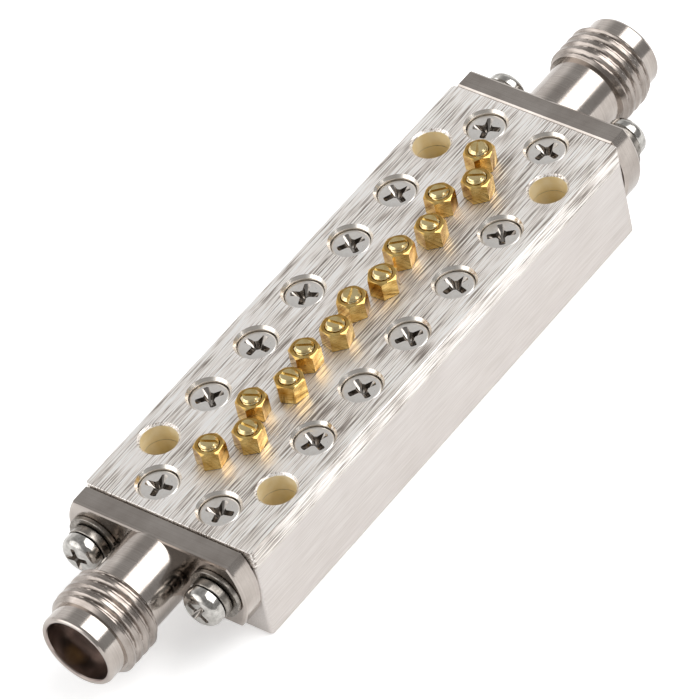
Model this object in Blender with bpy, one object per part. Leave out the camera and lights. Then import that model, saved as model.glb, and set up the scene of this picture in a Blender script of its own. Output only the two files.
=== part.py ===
"""Waveguide cavity band-pass filter with a coaxial jack at each end.

A plated metal block holds a row of seven cavities joined by iris openings. A screwed-down lid closes them
and carries thirteen tuning screws, each locked by a hexagon nut. A flanged coaxial jack is screwed to each
end face, and its centre contact reaches through the end wall into the nearest cavity.

+X runs along the filter, +Y across it and +Z up. The origin is under its middle, at the bottom face.
"""

import math

import bmesh
import bpy
from mathutils import Matrix, Vector

MM = 0.001

# Clearances
SEAT_GAP = 0.03 * MM
RUNNING_CLEARANCE = 0.05 * MM
SCREW_HOLE_CLEARANCE = 0.1 * MM
CUT_MARGIN = 0.5 * MM

# Facets of the round shapes
FINE_SEGMENTS = 28
HOLE_SEGMENTS = 16
SMALL_SEGMENTS = 12
CORNER_SEGMENTS = 3
FLANGE_ARC_SEGMENTS = 8

# Block and lid
BODY_LENGTH = 39.64 * MM
BODY_WIDTH = 13.2 * MM
BODY_HEIGHT = 7.4 * MM
LID_THICKNESS = 1.4 * MM
CORNER_RADIUS = 0.3 * MM
BODY_SIDE_OFFSET = -0.2 * MM
OUTER_EDGE_BREAK = 0.12 * MM
SEAM_EDGE_BREAK = 0.06 * MM

# Cavities, iris openings and the holes that feed them
CAVITY_COUNT = 7
CAVITY_SIDE_WALL = 3.7 * MM
CAVITY_DEPTH = 2.6 * MM
IRIS_THICKNESS = 0.8 * MM
IRIS_OPENING = 3.9 * MM
END_WALL = 3.32 * MM
FEED_HOLE_DIAMETER = 1.16 * MM

# Mounting holes through lid and block
MOUNTING_HOLE_DIAMETER = 2.5 * MM
MOUNTING_HOLE_INSET = 5.17 * MM
MOUNTING_HOLE_SIDE_INSET = 1.95 * MM
MOUNTING_HOLE_CHAMFER = 0.16 * MM

# Lid screws, sunk in counterbores
LID_SCREW_HEAD_DIAMETER = 2.6 * MM
LID_SCREW_HEAD_HEIGHT = 0.65 * MM
LID_SCREW_HEAD_SUNK = 0.3 * MM
LID_SCREW_SHANK_DIAMETER = 1.4 * MM
LID_SCREW_GRIP = 2.6 * MM
LID_SCREW_COUNTERBORE_DIAMETER = 3.0 * MM
SIDE_SCREW_COUNT = 5
SIDE_SCREW_ROW_INSET = 9.72 * MM
SIDE_SCREW_INSET = 2.45 * MM
END_SCREW_INSET = 2.17 * MM
END_SCREW_SPACING = 4.8 * MM

# Tuning screws and their lock nuts. Rows are the same from both ends, and a list counts from the middle out.
TUNER_DIAMETER = 1.3 * MM
TUNER_EDGE_BREAK = 0.14 * MM
TUNER_PROUD = 0.26 * MM
TUNER_SLOT_WIDTH = 0.24 * MM
TUNER_SLOT_DEPTH = 0.3 * MM
CAVITY_TUNER_REACH = 1.2 * MM
IRIS_TUNER_REACH = 0.8 * MM
CAVITY_ROW_END_INSET = 5.32 * MM
END_CAVITY_SHORTER_BY = 0.65 * MM
CAVITY_TUNER_OFFSETS = (-0.16 * MM, -0.16 * MM, 0.26 * MM, 0.26 * MM)
IRIS_TUNER_OFFSETS = (-0.74 * MM, -0.84 * MM, -1.14 * MM)
LOCK_NUT_ACROSS_FLATS = 1.84 * MM
LOCK_NUT_HEIGHT = 1.38 * MM
LOCK_NUT_CHAMFER_SLOPE = math.radians(30)
CAVITY_SLOT_ANGLES = (-65, -65, -60, 20, -50, -45, 30)
IRIS_SLOT_ANGLES = (-90, -81, -83, -80, -82, -60)
CAVITY_NUT_ANGLES = (9, 16, 5, 27, 15, 19, 18)
IRIS_NUT_ANGLES = (9, 51, 15, 33, 14, 14)

# Coaxial jacks: axial lengths count from the back of the flange
JACK_AXIS_BELOW_TOP = 2.68 * MM
JACK_LENGTH = 9.83 * MM
FLANGE_HEIGHT = 5.3 * MM
FLANGE_FLAT_LENGTH = 12.2 * MM
FLANGE_END_RADIUS = 4.65 * MM
FLANGE_THICKNESS = 1.66 * MM
FLANGE_CHAMFER = 0.16 * MM
NECK_DIAMETER = 5.28 * MM
THREAD_START = 5.45 * MM
THREAD_LENGTH = 3.0 * MM
THREAD_DIAMETER = 6.35 * MM
THREAD_CHAMFER = 0.3 * MM
PILOT_DIAMETER = 5.45 * MM
MOUTH_DIAMETER = 4.62 * MM
MOUTH_DEPTH = 1.9 * MM
MOUTH_EDGE_BREAK = 0.07 * MM
OUTER_CONDUCTOR_DIAMETER = 2.92 * MM
INSULATOR_DIAMETER = 4.1 * MM
INSULATOR_LENGTH = 1.6 * MM
CONTACT_DIAMETER = 1.27 * MM
CONTACT_SOCKET_DIAMETER = 0.9 * MM
CONTACT_SOCKET_DEPTH = 2.4 * MM
CONTACT_PIN_DIAMETER = 0.5 * MM
CONTACT_PIN_REACH = 1.0 * MM

# Flange screws with their washers
FLANGE_SCREW_SPACING = 9.6 * MM
FLANGE_SCREW_SHANK_DIAMETER = 1.6 * MM
FLANGE_SCREW_HEAD_DIAMETER = 2.8 * MM
FLANGE_SCREW_HEAD_HEIGHT = 1.0 * MM
FLANGE_SCREW_GRIP = 3.0 * MM
FLANGE_HOLE_DIAMETER = 1.9 * MM
FLAT_WASHER_DIAMETER = 3.7 * MM
FLAT_WASHER_THICKNESS = 0.32 * MM
SPRING_WASHER_DIAMETER = 2.9 * MM
SPRING_WASHER_THICKNESS = 0.63 * MM
SPRING_WASHER_GAP = 0.35 * MM
WASHER_BORE_DIAMETER = 1.8 * MM

# Cross recess in the screw heads
RECESS_ARM_WIDTH = 0.34 * MM
RECESS_SPAN = 1.5 * MM
RECESS_DEPTH = 0.45 * MM
RECESS_FLOOR_SCALE = 0.55

# Places worked out from the sizes above
LID_BOTTOM = BODY_HEIGHT - LID_THICKNESS
BLOCK_TOP = LID_BOTTOM - SEAT_GAP
CAVITY_FLOOR = LID_BOTTOM - CAVITY_DEPTH
CAVITY_ROW_END = BODY_LENGTH / 2 - END_WALL
CAVITY_WIDTH = BODY_WIDTH - 2 * CAVITY_SIDE_WALL
JACK_AXIS_HEIGHT = BODY_HEIGHT - JACK_AXIS_BELOW_TOP
COUNTERBORE_DEPTH = LID_SCREW_HEAD_SUNK + LID_SCREW_HEAD_HEIGHT + SEAT_GAP


def material(name, colour, metallic, roughness):
    """A Principled BSDF material. The colour is linear red, green and blue."""
    made = bpy.data.materials.new(name)
    made.use_nodes = True
    shader = made.node_tree.nodes["Principled BSDF"]
    shader.inputs["Base Color"].default_value = (*colour, 1)
    shader.inputs["Metallic"].default_value = metallic
    shader.inputs["Roughness"].default_value = roughness
    return made


def mesh_of(name, points, faces):
    """A mesh with outward faces from points and faces."""
    mesh = bpy.data.meshes.new(name)
    mesh.from_pydata([tuple(point) for point in points], [], faces)
    tidy = bmesh.new()
    tidy.from_mesh(mesh)
    bmesh.ops.recalc_face_normals(tidy, faces=tidy.faces)
    tidy.to_mesh(mesh)
    tidy.free()
    return mesh


def put(name, mesh, finish=None, place=None):
    """An object in the scene with its material and its place."""
    made = bpy.data.objects.new(name, mesh)
    bpy.context.scene.collection.objects.link(made)
    if finish:
        mesh.materials.clear()
        mesh.materials.append(finish)
        mesh.shade_smooth()
        mesh.set_sharp_from_angle(angle=math.radians(32))
    if place:
        made.matrix_world = place
    return made


def helper(name, mesh, place=None):
    """A cutter or a shape to be joined, which is no piece of the filter itself."""
    made = put(name, mesh, place=place)
    made.hide_render = True
    made.display_type = "WIRE"
    return made


def boolean(target, other, operation="DIFFERENCE"):
    modifier = target.modifiers.new(other.name, "BOOLEAN")
    modifier.operation = operation
    modifier.solver = "EXACT"
    modifier.object = other


def finished(target):
    """The target's mesh with its modifiers applied, for pieces that share it."""
    graph = bpy.context.evaluated_depsgraph_get()
    graph.update()
    mesh = bpy.data.meshes.new_from_object(target.evaluated_get(graph), depsgraph=graph)
    bpy.data.objects.remove(target)
    return mesh


def stacked(name, rings):
    """A solid from rings of equal length, listed from the first end to the last, with both ends filled."""
    count = len(rings[0])
    points = [point for ring in rings for point in ring]
    faces = [list(range(count)), list(range(len(points) - count, len(points)))]
    for level in range(len(rings) - 1):
        low = level * count
        for step in range(count):
            after = (step + 1) % count
            faces.append([low + step, low + after, low + count + after, low + count + step])
    return mesh_of(name, points, faces)


def circle(radius, height, segments):
    turn = 2 * math.pi / segments
    return [
        (radius * math.cos(turn * step), radius * math.sin(turn * step), height)
        for step in range(segments)
    ]


def turned(name, profile, segments):
    """A solid of revolution about Z from (radius, height) points, bottom to top, none of them on the axis."""
    return stacked(name, [circle(radius, height, segments) for radius, height in profile])


def turned_ring(name, profile, segments):
    """A ring turned about Z from a closed profile of (radius, height) points."""
    rings = [circle(radius, height, segments) for radius, height in profile]
    points = [point for ring in rings for point in ring]
    faces = []
    for level in range(len(rings)):
        low = level * segments
        high = (level + 1) % len(rings) * segments
        for step in range(segments):
            after = (step + 1) % segments
            faces.append([low + step, low + after, high + after, high + step])
    return mesh_of(name, points, faces)


def rounded_rectangle(length, width, radius, height):
    """Points round a rectangle with round corners, at one height."""
    ring = []
    for corner, (along, across) in enumerate(((1, 1), (-1, 1), (-1, -1), (1, -1))):
        for step in range(CORNER_SEGMENTS + 1):
            angle = (corner + step / CORNER_SEGMENTS) * math.pi / 2
            x = along * (length / 2 - radius) + radius * math.cos(angle)
            y = across * (width / 2 - radius) + radius * math.sin(angle)
            ring.append((x, y, height))
    return ring


def plate(name, bottom, top, bottom_break, top_break):
    """The filter's outline as a plate between two heights, with its edges broken."""
    levels = (
        (bottom_break, bottom),
        (0, bottom + bottom_break),
        (0, top - top_break),
        (top_break, top),
    )
    rings = []
    for inset, height in levels:
        radius = CORNER_RADIUS - inset
        outline = rounded_rectangle(BODY_LENGTH - 2 * inset, BODY_WIDTH - 2 * inset, radius, height)
        rings.append([(x, y + BODY_SIDE_OFFSET, z) for x, y, z in outline])
    return stacked(name, rings)


def joined(name, meshes_and_places):
    """One mesh from separate closed shapes that don't touch each other."""
    gathered = bmesh.new()
    for mesh, place in meshes_and_places:
        part = mesh.copy()
        part.transform(place)
        gathered.from_mesh(part)
        bpy.data.meshes.remove(part)
    mesh = bpy.data.meshes.new(name)
    gathered.to_mesh(mesh)
    gathered.free()
    return mesh


def lid_screw_places():
    places = []
    for end in (-1, 1):
        for side in (1, -1):
            across = BODY_SIDE_OFFSET + side * END_SCREW_SPACING / 2
            places.append((end * (BODY_LENGTH / 2 - END_SCREW_INSET), across))
    pitch = (BODY_LENGTH - 2 * SIDE_SCREW_ROW_INSET) / (SIDE_SCREW_COUNT - 1)
    for index in range(SIDE_SCREW_COUNT):
        along = (index - (SIDE_SCREW_COUNT - 1) / 2) * pitch
        for side in (1, -1):
            places.append((along, BODY_SIDE_OFFSET + side * (BODY_WIDTH / 2 - SIDE_SCREW_INSET)))
    return sorted(places)


def mounting_hole_places():
    along = BODY_LENGTH / 2 - MOUNTING_HOLE_INSET
    across = BODY_WIDTH / 2 - MOUNTING_HOLE_SIDE_INSET
    return [(end * along, BODY_SIDE_OFFSET + side * across) for end in (-1, 1) for side in (1, -1)]


def cavity_tuner_places():
    """The row over the cavities: even pitch with a shorter one before each end, the same from both ends."""
    last = (CAVITY_COUNT - 1) // 2
    row_end = BODY_LENGTH / 2 - CAVITY_ROW_END_INSET
    pitch = (row_end + END_CAVITY_SHORTER_BY) / last
    places = []
    for index in range(-last, last + 1):
        along = row_end if abs(index) == last else abs(index) * pitch
        places.append((math.copysign(along, index), CAVITY_TUNER_OFFSETS[abs(index)]))
    return places


def iris_tuner_places():
    """The row over the iris openings, each midway between two cavity tuners."""
    along = [place[0] for place in cavity_tuner_places()]
    middles = [(before + after) / 2 for before, after in zip(along, along[1:])]
    half = len(middles) // 2
    offsets = IRIS_TUNER_OFFSETS[half - 1 :: -1] + IRIS_TUNER_OFFSETS[:half]
    return list(zip(middles, offsets))


def standing(place, height=0.0):
    return Matrix.Translation((*place, height))


def jack_frame(end):
    """From a jack's own frame, +Z out of its mouth and +X up, to the end face of the block it sits on."""
    outward = Vector((end, 0, 0))
    up = Vector((0, 0, 1))
    frame = Matrix((up, outward.cross(up), outward)).transposed().to_4x4()
    return Matrix.Translation((end * BODY_LENGTH / 2, 0, JACK_AXIS_HEIGHT)) @ frame


def flange_screw_sides():
    return [side * FLANGE_SCREW_SPACING / 2 for side in (-1, 1)]


def cavity_outline():
    """Points round the row of cavities and iris openings, which is one connected hollow."""
    side = [(-CAVITY_ROW_END, CAVITY_WIDTH / 2)]
    for middle, _ in iris_tuner_places():
        before = middle - IRIS_THICKNESS / 2
        after = middle + IRIS_THICKNESS / 2
        side += [(before, CAVITY_WIDTH / 2), (before, IRIS_OPENING / 2)]
        side += [(after, IRIS_OPENING / 2), (after, CAVITY_WIDTH / 2)]
    side.append((CAVITY_ROW_END, CAVITY_WIDTH / 2))
    left = [(x, BODY_SIDE_OFFSET + y) for x, y in side]
    right = [(x, BODY_SIDE_OFFSET - y) for x, y in reversed(side)]
    return left + right


def mounting_hole_cutter():
    """Turned cutter through lid and block that also breaks the rim at both faces."""
    radius = MOUNTING_HOLE_DIAMETER / 2
    wide = radius + MOUNTING_HOLE_CHAMFER + CUT_MARGIN
    profile = (
        (wide, -CUT_MARGIN),
        (radius, MOUNTING_HOLE_CHAMFER),
        (radius, BODY_HEIGHT - MOUNTING_HOLE_CHAMFER),
        (wide, BODY_HEIGHT + CUT_MARGIN),
    )
    return turned("mounting_hole_cutter", profile, HOLE_SEGMENTS)


def build_block(finish):
    block = put("body_block", plate("body_block", 0, BLOCK_TOP, OUTER_EDGE_BREAK, SEAM_EDGE_BREAK), finish)
    outline = cavity_outline()
    hollow = stacked(
        "cavity_cutter",
        [[(x, y, height) for x, y in outline] for height in (CAVITY_FLOOR, BLOCK_TOP + CUT_MARGIN)],
    )
    boolean(block, helper("cavity_cutter", hollow))

    shank = LID_SCREW_SHANK_DIAMETER / 2 + RUNNING_CLEARANCE
    tapped_depth = LID_SCREW_GRIP + SCREW_HOLE_CLEARANCE
    tapped = turned(
        "tapped", ((shank, LID_BOTTOM - tapped_depth), (shank, LID_BOTTOM + CUT_MARGIN)), SMALL_SEGMENTS
    )
    upright = [(tapped, standing(place)) for place in lid_screw_places()]
    through = mounting_hole_cutter()
    upright += [(through, standing(place)) for place in mounting_hole_places()]
    boolean(block, helper("upright_hole_cutter", joined("upright_hole_cutter", upright)))

    feed = FEED_HOLE_DIAMETER / 2
    inner = -END_WALL - CUT_MARGIN
    feed_hole = turned("feed", ((feed, inner), (feed, CUT_MARGIN)), SMALL_SEGMENTS)
    end_shank = FLANGE_SCREW_SHANK_DIAMETER / 2 + RUNNING_CLEARANCE
    end_depth = FLANGE_SCREW_GRIP + SCREW_HOLE_CLEARANCE
    end_tapped = turned("end_tapped", ((end_shank, -end_depth), (end_shank, CUT_MARGIN)), SMALL_SEGMENTS)
    level = []
    for end in (-1, 1):
        level.append((feed_hole, jack_frame(end)))
        for side in flange_screw_sides():
            level.append((end_tapped, jack_frame(end) @ Matrix.Translation((0, side, 0))))
    boolean(block, helper("level_hole_cutter", joined("level_hole_cutter", level)))


def build_lid(finish):
    lid = put("lid", plate("lid", LID_BOTTOM, BODY_HEIGHT, SEAM_EDGE_BREAK, OUTER_EDGE_BREAK), finish)
    head = LID_SCREW_COUNTERBORE_DIAMETER / 2
    shank = LID_SCREW_SHANK_DIAMETER / 2 + RUNNING_CLEARANCE
    floor = BODY_HEIGHT - COUNTERBORE_DEPTH
    stepped = turned(
        "stepped",
        (
            (shank, LID_BOTTOM - CUT_MARGIN),
            (shank, floor),
            (head, floor),
            (head, BODY_HEIGHT + CUT_MARGIN),
        ),
        HOLE_SEGMENTS,
    )
    cuts = [(stepped, standing(place)) for place in lid_screw_places()]
    through = mounting_hole_cutter()
    cuts += [(through, standing(place)) for place in mounting_hole_places()]
    tuner = TUNER_DIAMETER / 2 + RUNNING_CLEARANCE
    tapped = turned(
        "tapped", ((tuner, LID_BOTTOM - CUT_MARGIN), (tuner, BODY_HEIGHT + CUT_MARGIN)), SMALL_SEGMENTS
    )
    cuts += [(tapped, standing(place)) for place in cavity_tuner_places() + iris_tuner_places()]
    boolean(lid, helper("lid_cutter", joined("lid_cutter", cuts)))


def cross_recess(top):
    """Tapered cross that is cut into a screw head whose crown is at height top."""
    arm = RECESS_ARM_WIDTH / 2
    reach = RECESS_SPAN / 2
    quarter = ((reach, -arm), (reach, arm), (arm, arm))
    outline = []
    for turn in range(4):
        for point in quarter:
            outline.append(Matrix.Rotation(turn * math.pi / 2, 2) @ Vector(point))
    widen = 1 + (1 - RECESS_FLOOR_SCALE) * CUT_MARGIN / RECESS_DEPTH
    levels = ((RECESS_FLOOR_SCALE, top - RECESS_DEPTH), (widen, top + CUT_MARGIN))
    rings = [[(scale * x, scale * y, height) for x, y in outline] for scale, height in levels]
    return stacked("cross_recess", rings)


def cross_head_screw(name, head_profile, shank_diameter, shank_length):
    """Screw with its head's seat at height 0, head up, and a cross recess in its crown."""
    shank = shank_diameter / 2
    profile = ((shank, -shank_length), (shank, 0), *head_profile)
    blank = put(name, turned(name, profile, SMALL_SEGMENTS))
    boolean(blank, helper("recess_cutter", cross_recess(head_profile[-1][1])))
    return finished(blank)


def build_lid_screws(finish):
    radius = LID_SCREW_HEAD_DIAMETER / 2
    crown = LID_SCREW_HEAD_HEIGHT
    edge = OUTER_EDGE_BREAK
    head = ((radius, 0), (radius, crown - edge), (radius - edge, crown))
    seat = BODY_HEIGHT - COUNTERBORE_DEPTH
    length = seat - LID_BOTTOM + LID_SCREW_GRIP
    mesh = cross_head_screw("lid_screw", head, LID_SCREW_SHANK_DIAMETER, length)
    turn = math.radians(37)
    for index, place in enumerate(lid_screw_places()):
        spin = Matrix.Rotation(index * turn, 4, "Z")
        put(f"lid_screw_{index + 1:02d}", mesh, finish, standing(place, seat + SEAT_GAP) @ spin)


def tuner_mesh(name, reach):
    """Slotted grub screw with its joint origin at the lid's top face, where its thread leaves the lid."""
    radius = TUNER_DIAMETER / 2
    top = SEAT_GAP + LOCK_NUT_HEIGHT + TUNER_PROUD
    tip = -LID_THICKNESS - reach
    edge = TUNER_EDGE_BREAK
    profile = ((radius - edge, tip), (radius, tip + edge), (radius, top - edge), (radius - edge, top))
    blank = put(name, turned(name, profile, SMALL_SEGMENTS))
    across = TUNER_SLOT_WIDTH / 2
    along = radius + CUT_MARGIN
    corners = [(-along, -across), (along, -across), (along, across), (-along, across)]
    levels = (top - TUNER_SLOT_DEPTH, top + CUT_MARGIN)
    slot = stacked("slot", [[(x, y, height) for x, y in corners] for height in levels])
    boolean(blank, helper("slot_cutter", slot))
    return finished(blank)


def build_tuners(finish):
    rows = (
        ("cavity_tuner", cavity_tuner_places(), CAVITY_TUNER_REACH, CAVITY_SLOT_ANGLES),
        ("iris_tuner", iris_tuner_places(), IRIS_TUNER_REACH, IRIS_SLOT_ANGLES),
    )
    for name, places, reach, angles in rows:
        mesh = tuner_mesh(name, reach)
        for index, place in enumerate(places):
            spin = Matrix.Rotation(math.radians(angles[index % len(angles)]), 4, "Z")
            put(f"{name}_{index + 1}", mesh, finish, standing(place, BODY_HEIGHT) @ spin)


def lock_nut_mesh():
    """Hexagon nut on height 0: a hexagon prism whose top corners are turned off by a cone."""
    flat = LOCK_NUT_ACROSS_FLATS / 2
    corner = flat / math.cos(math.pi / 6)
    hexagon = stacked("lock_nut", [circle(corner, height, 6) for height in (0, LOCK_NUT_HEIGHT)])
    blank = put("lock_nut", hexagon)
    drop = (corner - flat) * math.tan(LOCK_NUT_CHAMFER_SLOPE) + SEAM_EDGE_BREAK
    wide = corner + CUT_MARGIN
    slope = math.tan(LOCK_NUT_CHAMFER_SLOPE)
    kept = turned(
        "kept",
        (
            (wide, -CUT_MARGIN),
            (wide, LOCK_NUT_HEIGHT - drop - slope * CUT_MARGIN),
            (corner - drop / slope, LOCK_NUT_HEIGHT),
            (corner - drop / slope, LOCK_NUT_HEIGHT + CUT_MARGIN),
        ),
        HOLE_SEGMENTS,
    )
    boolean(blank, helper("nut_chamfer", kept), "INTERSECT")
    bore = TUNER_DIAMETER / 2 + RUNNING_CLEARANCE
    hole = turned("hole", ((bore, -CUT_MARGIN), (bore, LOCK_NUT_HEIGHT + CUT_MARGIN)), SMALL_SEGMENTS)
    boolean(blank, helper("nut_bore", hole))
    return finished(blank)


def build_lock_nuts(finish):
    mesh = lock_nut_mesh()
    rows = (
        ("cavity_lock_nut", cavity_tuner_places(), CAVITY_NUT_ANGLES),
        ("iris_lock_nut", iris_tuner_places(), IRIS_NUT_ANGLES),
    )
    for name, places, angles in rows:
        for index, place in enumerate(places):
            spin = Matrix.Rotation(math.radians(angles[index % len(angles)]), 4, "Z")
            put(f"{name}_{index + 1}", mesh, finish, standing(place, BODY_HEIGHT + SEAT_GAP) @ spin)


def flange_outline(inset, height):
    """Flange outline with flat long sides along Y and arc ends, in a jack's own frame."""
    half = FLANGE_HEIGHT / 2 - inset
    centre = FLANGE_FLAT_LENGTH / 2 - math.sqrt(FLANGE_END_RADIUS**2 - (FLANGE_HEIGHT / 2) ** 2)
    radius = FLANGE_END_RADIUS - inset
    reach = math.asin(half / radius)
    ring = []
    for side in (1, -1):
        for step in range(FLANGE_ARC_SEGMENTS + 1):
            angle = reach * (2 * step / FLANGE_ARC_SEGMENTS - 1)
            across = centre + radius * math.cos(angle)
            ring.append((-side * radius * math.sin(angle), side * across, height))
    return ring


def shell_mesh():
    """Jack shell in its own frame, back of the flange at height 0 and mouth up."""
    neck = NECK_DIAMETER / 2
    thread = THREAD_DIAMETER / 2
    pilot = PILOT_DIAMETER / 2
    thread_end = THREAD_START + THREAD_LENGTH
    barrel = turned(
        "barrel",
        (
            (neck, FLANGE_THICKNESS / 2),
            (neck, THREAD_START),
            (thread - THREAD_CHAMFER, THREAD_START),
            (thread, THREAD_START + THREAD_CHAMFER),
            (thread, thread_end - THREAD_CHAMFER),
            (thread - THREAD_CHAMFER, thread_end),
            (pilot, thread_end),
            (pilot, JACK_LENGTH - MOUTH_EDGE_BREAK),
            (pilot - MOUTH_EDGE_BREAK, JACK_LENGTH),
        ),
        FINE_SEGMENTS,
    )
    levels = (
        (FLANGE_CHAMFER, 0),
        (0, FLANGE_CHAMFER),
        (0, FLANGE_THICKNESS - FLANGE_CHAMFER),
        (FLANGE_CHAMFER, FLANGE_THICKNESS),
    )
    blank = put("shell", stacked("flange", [flange_outline(inset, height) for inset, height in levels]))
    boolean(blank, helper("barrel", barrel), "UNION")

    insulator = INSULATOR_DIAMETER / 2
    conductor = OUTER_CONDUCTOR_DIAMETER / 2
    mouth = MOUTH_DIAMETER / 2
    floor = JACK_LENGTH - MOUTH_DEPTH
    bore = turned(
        "bore",
        (
            (insulator, -CUT_MARGIN),
            (insulator, INSULATOR_LENGTH + SEAT_GAP),
            (conductor, INSULATOR_LENGTH + SEAT_GAP),
            (conductor, floor),
            (mouth, floor),
            (mouth, JACK_LENGTH - MOUTH_EDGE_BREAK),
            (mouth + MOUTH_EDGE_BREAK + CUT_MARGIN, JACK_LENGTH + CUT_MARGIN),
        ),
        FINE_SEGMENTS,
    )
    boolean(blank, helper("bore_cutter", bore))
    hole = FLANGE_HOLE_DIAMETER / 2
    drilled = turned("drilled", ((hole, -CUT_MARGIN), (hole, FLANGE_THICKNESS + CUT_MARGIN)), HOLE_SEGMENTS)
    holes = [(drilled, Matrix.Translation((0, side, 0))) for side in flange_screw_sides()]
    boolean(blank, helper("flange_hole_cutter", joined("flange_hole_cutter", holes)))
    return finished(blank)


def insulator_mesh():
    outer = INSULATOR_DIAMETER / 2 - RUNNING_CLEARANCE
    inner = CONTACT_PIN_DIAMETER / 2 + RUNNING_CLEARANCE
    front = INSULATOR_LENGTH - SEAT_GAP
    return turned_ring("insulator", ((inner, 0), (outer, 0), (outer, front), (inner, front)), HOLE_SEGMENTS)


def contact_mesh():
    """Centre contact with a socket at the mouth and a pin that reaches into the end cavity."""
    pin = CONTACT_PIN_DIAMETER / 2
    barrel = CONTACT_DIAMETER / 2
    top = JACK_LENGTH - MOUTH_DEPTH
    shoulder = INSULATOR_LENGTH + SEAT_GAP
    profile = (
        (pin, -END_WALL - CONTACT_PIN_REACH),
        (pin, shoulder),
        (barrel, shoulder),
        (barrel, top - SEAM_EDGE_BREAK),
        (barrel - SEAM_EDGE_BREAK, top),
    )
    blank = put("contact", turned("contact", profile, SMALL_SEGMENTS))
    socket = CONTACT_SOCKET_DIAMETER / 2
    levels = ((socket, top - CONTACT_SOCKET_DEPTH), (socket, top + CUT_MARGIN))
    boolean(blank, helper("socket_cutter", turned("drilled", levels, SMALL_SEGMENTS)))
    return finished(blank)


def build_jacks(shell_finish, insulator_finish, contact_finish):
    shell = shell_mesh()
    insulator = insulator_mesh()
    contact = contact_mesh()
    for name, end in (("near", -1), ("far", 1)):
        seat = jack_frame(end) @ Matrix.Translation((0, 0, SEAT_GAP))
        put(f"{name}_jack_shell", shell, shell_finish, seat)
        put(f"{name}_jack_insulator", insulator, insulator_finish, seat)
        put(f"{name}_jack_contact", contact, contact_finish, seat)


def spring_washer_mesh():
    """Split ring on height 0. Its gap is in the direction of +X."""
    inner = WASHER_BORE_DIAMETER / 2
    outer = SPRING_WASHER_DIAMETER / 2
    half_gap = math.asin(SPRING_WASHER_GAP / 2 / outer)
    outline = []
    for radius, direction in ((outer, 1), (inner, -1)):
        for step in range(HOLE_SEGMENTS + 1):
            share = step / HOLE_SEGMENTS if direction > 0 else 1 - step / HOLE_SEGMENTS
            angle = half_gap + share * (2 * math.pi - 2 * half_gap)
            outline.append((radius * math.cos(angle), radius * math.sin(angle)))
    rings = [[(x, y, height) for x, y in outline] for height in (0, SPRING_WASHER_THICKNESS)]
    return stacked("spring_washer", rings)


def build_flange_screws(screw_finish, washer_finish):
    bore = WASHER_BORE_DIAMETER / 2
    rim = FLAT_WASHER_DIAMETER / 2
    flat = turned_ring(
        "flat_washer",
        ((bore, 0), (rim, 0), (rim, FLAT_WASHER_THICKNESS), (bore, FLAT_WASHER_THICKNESS)),
        HOLE_SEGMENTS,
    )
    spring = spring_washer_mesh()
    flat_seat = FLANGE_THICKNESS + 2 * SEAT_GAP
    spring_seat = flat_seat + FLAT_WASHER_THICKNESS + SEAT_GAP
    head_seat = spring_seat + SPRING_WASHER_THICKNESS + SEAT_GAP

    radius = FLANGE_SCREW_HEAD_DIAMETER / 2
    crown = FLANGE_SCREW_HEAD_HEIGHT
    head = ((radius, 0), (radius, 0.45 * crown), (0.86 * radius, 0.8 * crown), (0.55 * radius, crown))
    length = head_seat + FLANGE_SCREW_GRIP
    screw = cross_head_screw("flange_screw", head, FLANGE_SCREW_SHANK_DIAMETER, length)
    index = 0
    for end in (-1, 1):
        for side in flange_screw_sides():
            index += 1
            axis = jack_frame(end) @ Matrix.Translation((0, side, 0))
            spin = Matrix.Rotation(math.radians(50 * index), 4, "Z")
            put(f"flat_washer_{index}", flat, washer_finish, axis @ Matrix.Translation((0, 0, flat_seat)))
            lifted = axis @ Matrix.Translation((0, 0, spring_seat)) @ spin
            put(f"spring_washer_{index}", spring, washer_finish, lifted)
            seated = axis @ Matrix.Translation((0, 0, head_seat)) @ spin
            put(f"flange_screw_{index}", screw, screw_finish, seated)


def main():
    for old in list(bpy.data.objects):
        bpy.data.objects.remove(old)
    plated = material("silver_plate", (0.66, 0.65, 0.62), 1, 0.34)
    lid_plated = material("brushed_silver_plate", (0.68, 0.66, 0.62), 1, 0.38)
    screw_steel = material("nickel_plated_steel", (0.42, 0.41, 0.4), 1, 0.28)
    brass = material("brass", (0.72, 0.46, 0.14), 1, 0.3)
    nut_brass = material("nut_brass", (0.7, 0.43, 0.12), 1, 0.32)
    stainless = material("passivated_stainless", (0.36, 0.33, 0.31), 1, 0.3)
    fluoropolymer = material("fluoropolymer", (0.8, 0.79, 0.76), 0, 0.45)
    gold = material("gold_plate", (0.83, 0.58, 0.22), 1, 0.25)
    washer_steel = material("washer_steel", (0.3, 0.28, 0.26), 1, 0.35)
    build_block(plated)
    build_lid(lid_plated)
    build_lid_screws(screw_steel)
    build_tuners(brass)
    build_lock_nuts(nut_brass)
    build_jacks(stainless, fluoropolymer, gold)
    build_flange_screws(screw_steel, washer_steel)


main()
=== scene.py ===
"""Looks of a small cavity filter: silver-plated block and lid, brass tuning screws, a steel jack at each end.

Every section makes one piece or one group of like pieces, in the order in which the filter is put together.
Sizes are in metres, and a size in millimetres is written as that number times MM.
"""

import math

import bmesh
import bpy
from mathutils import Matrix, Vector


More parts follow.
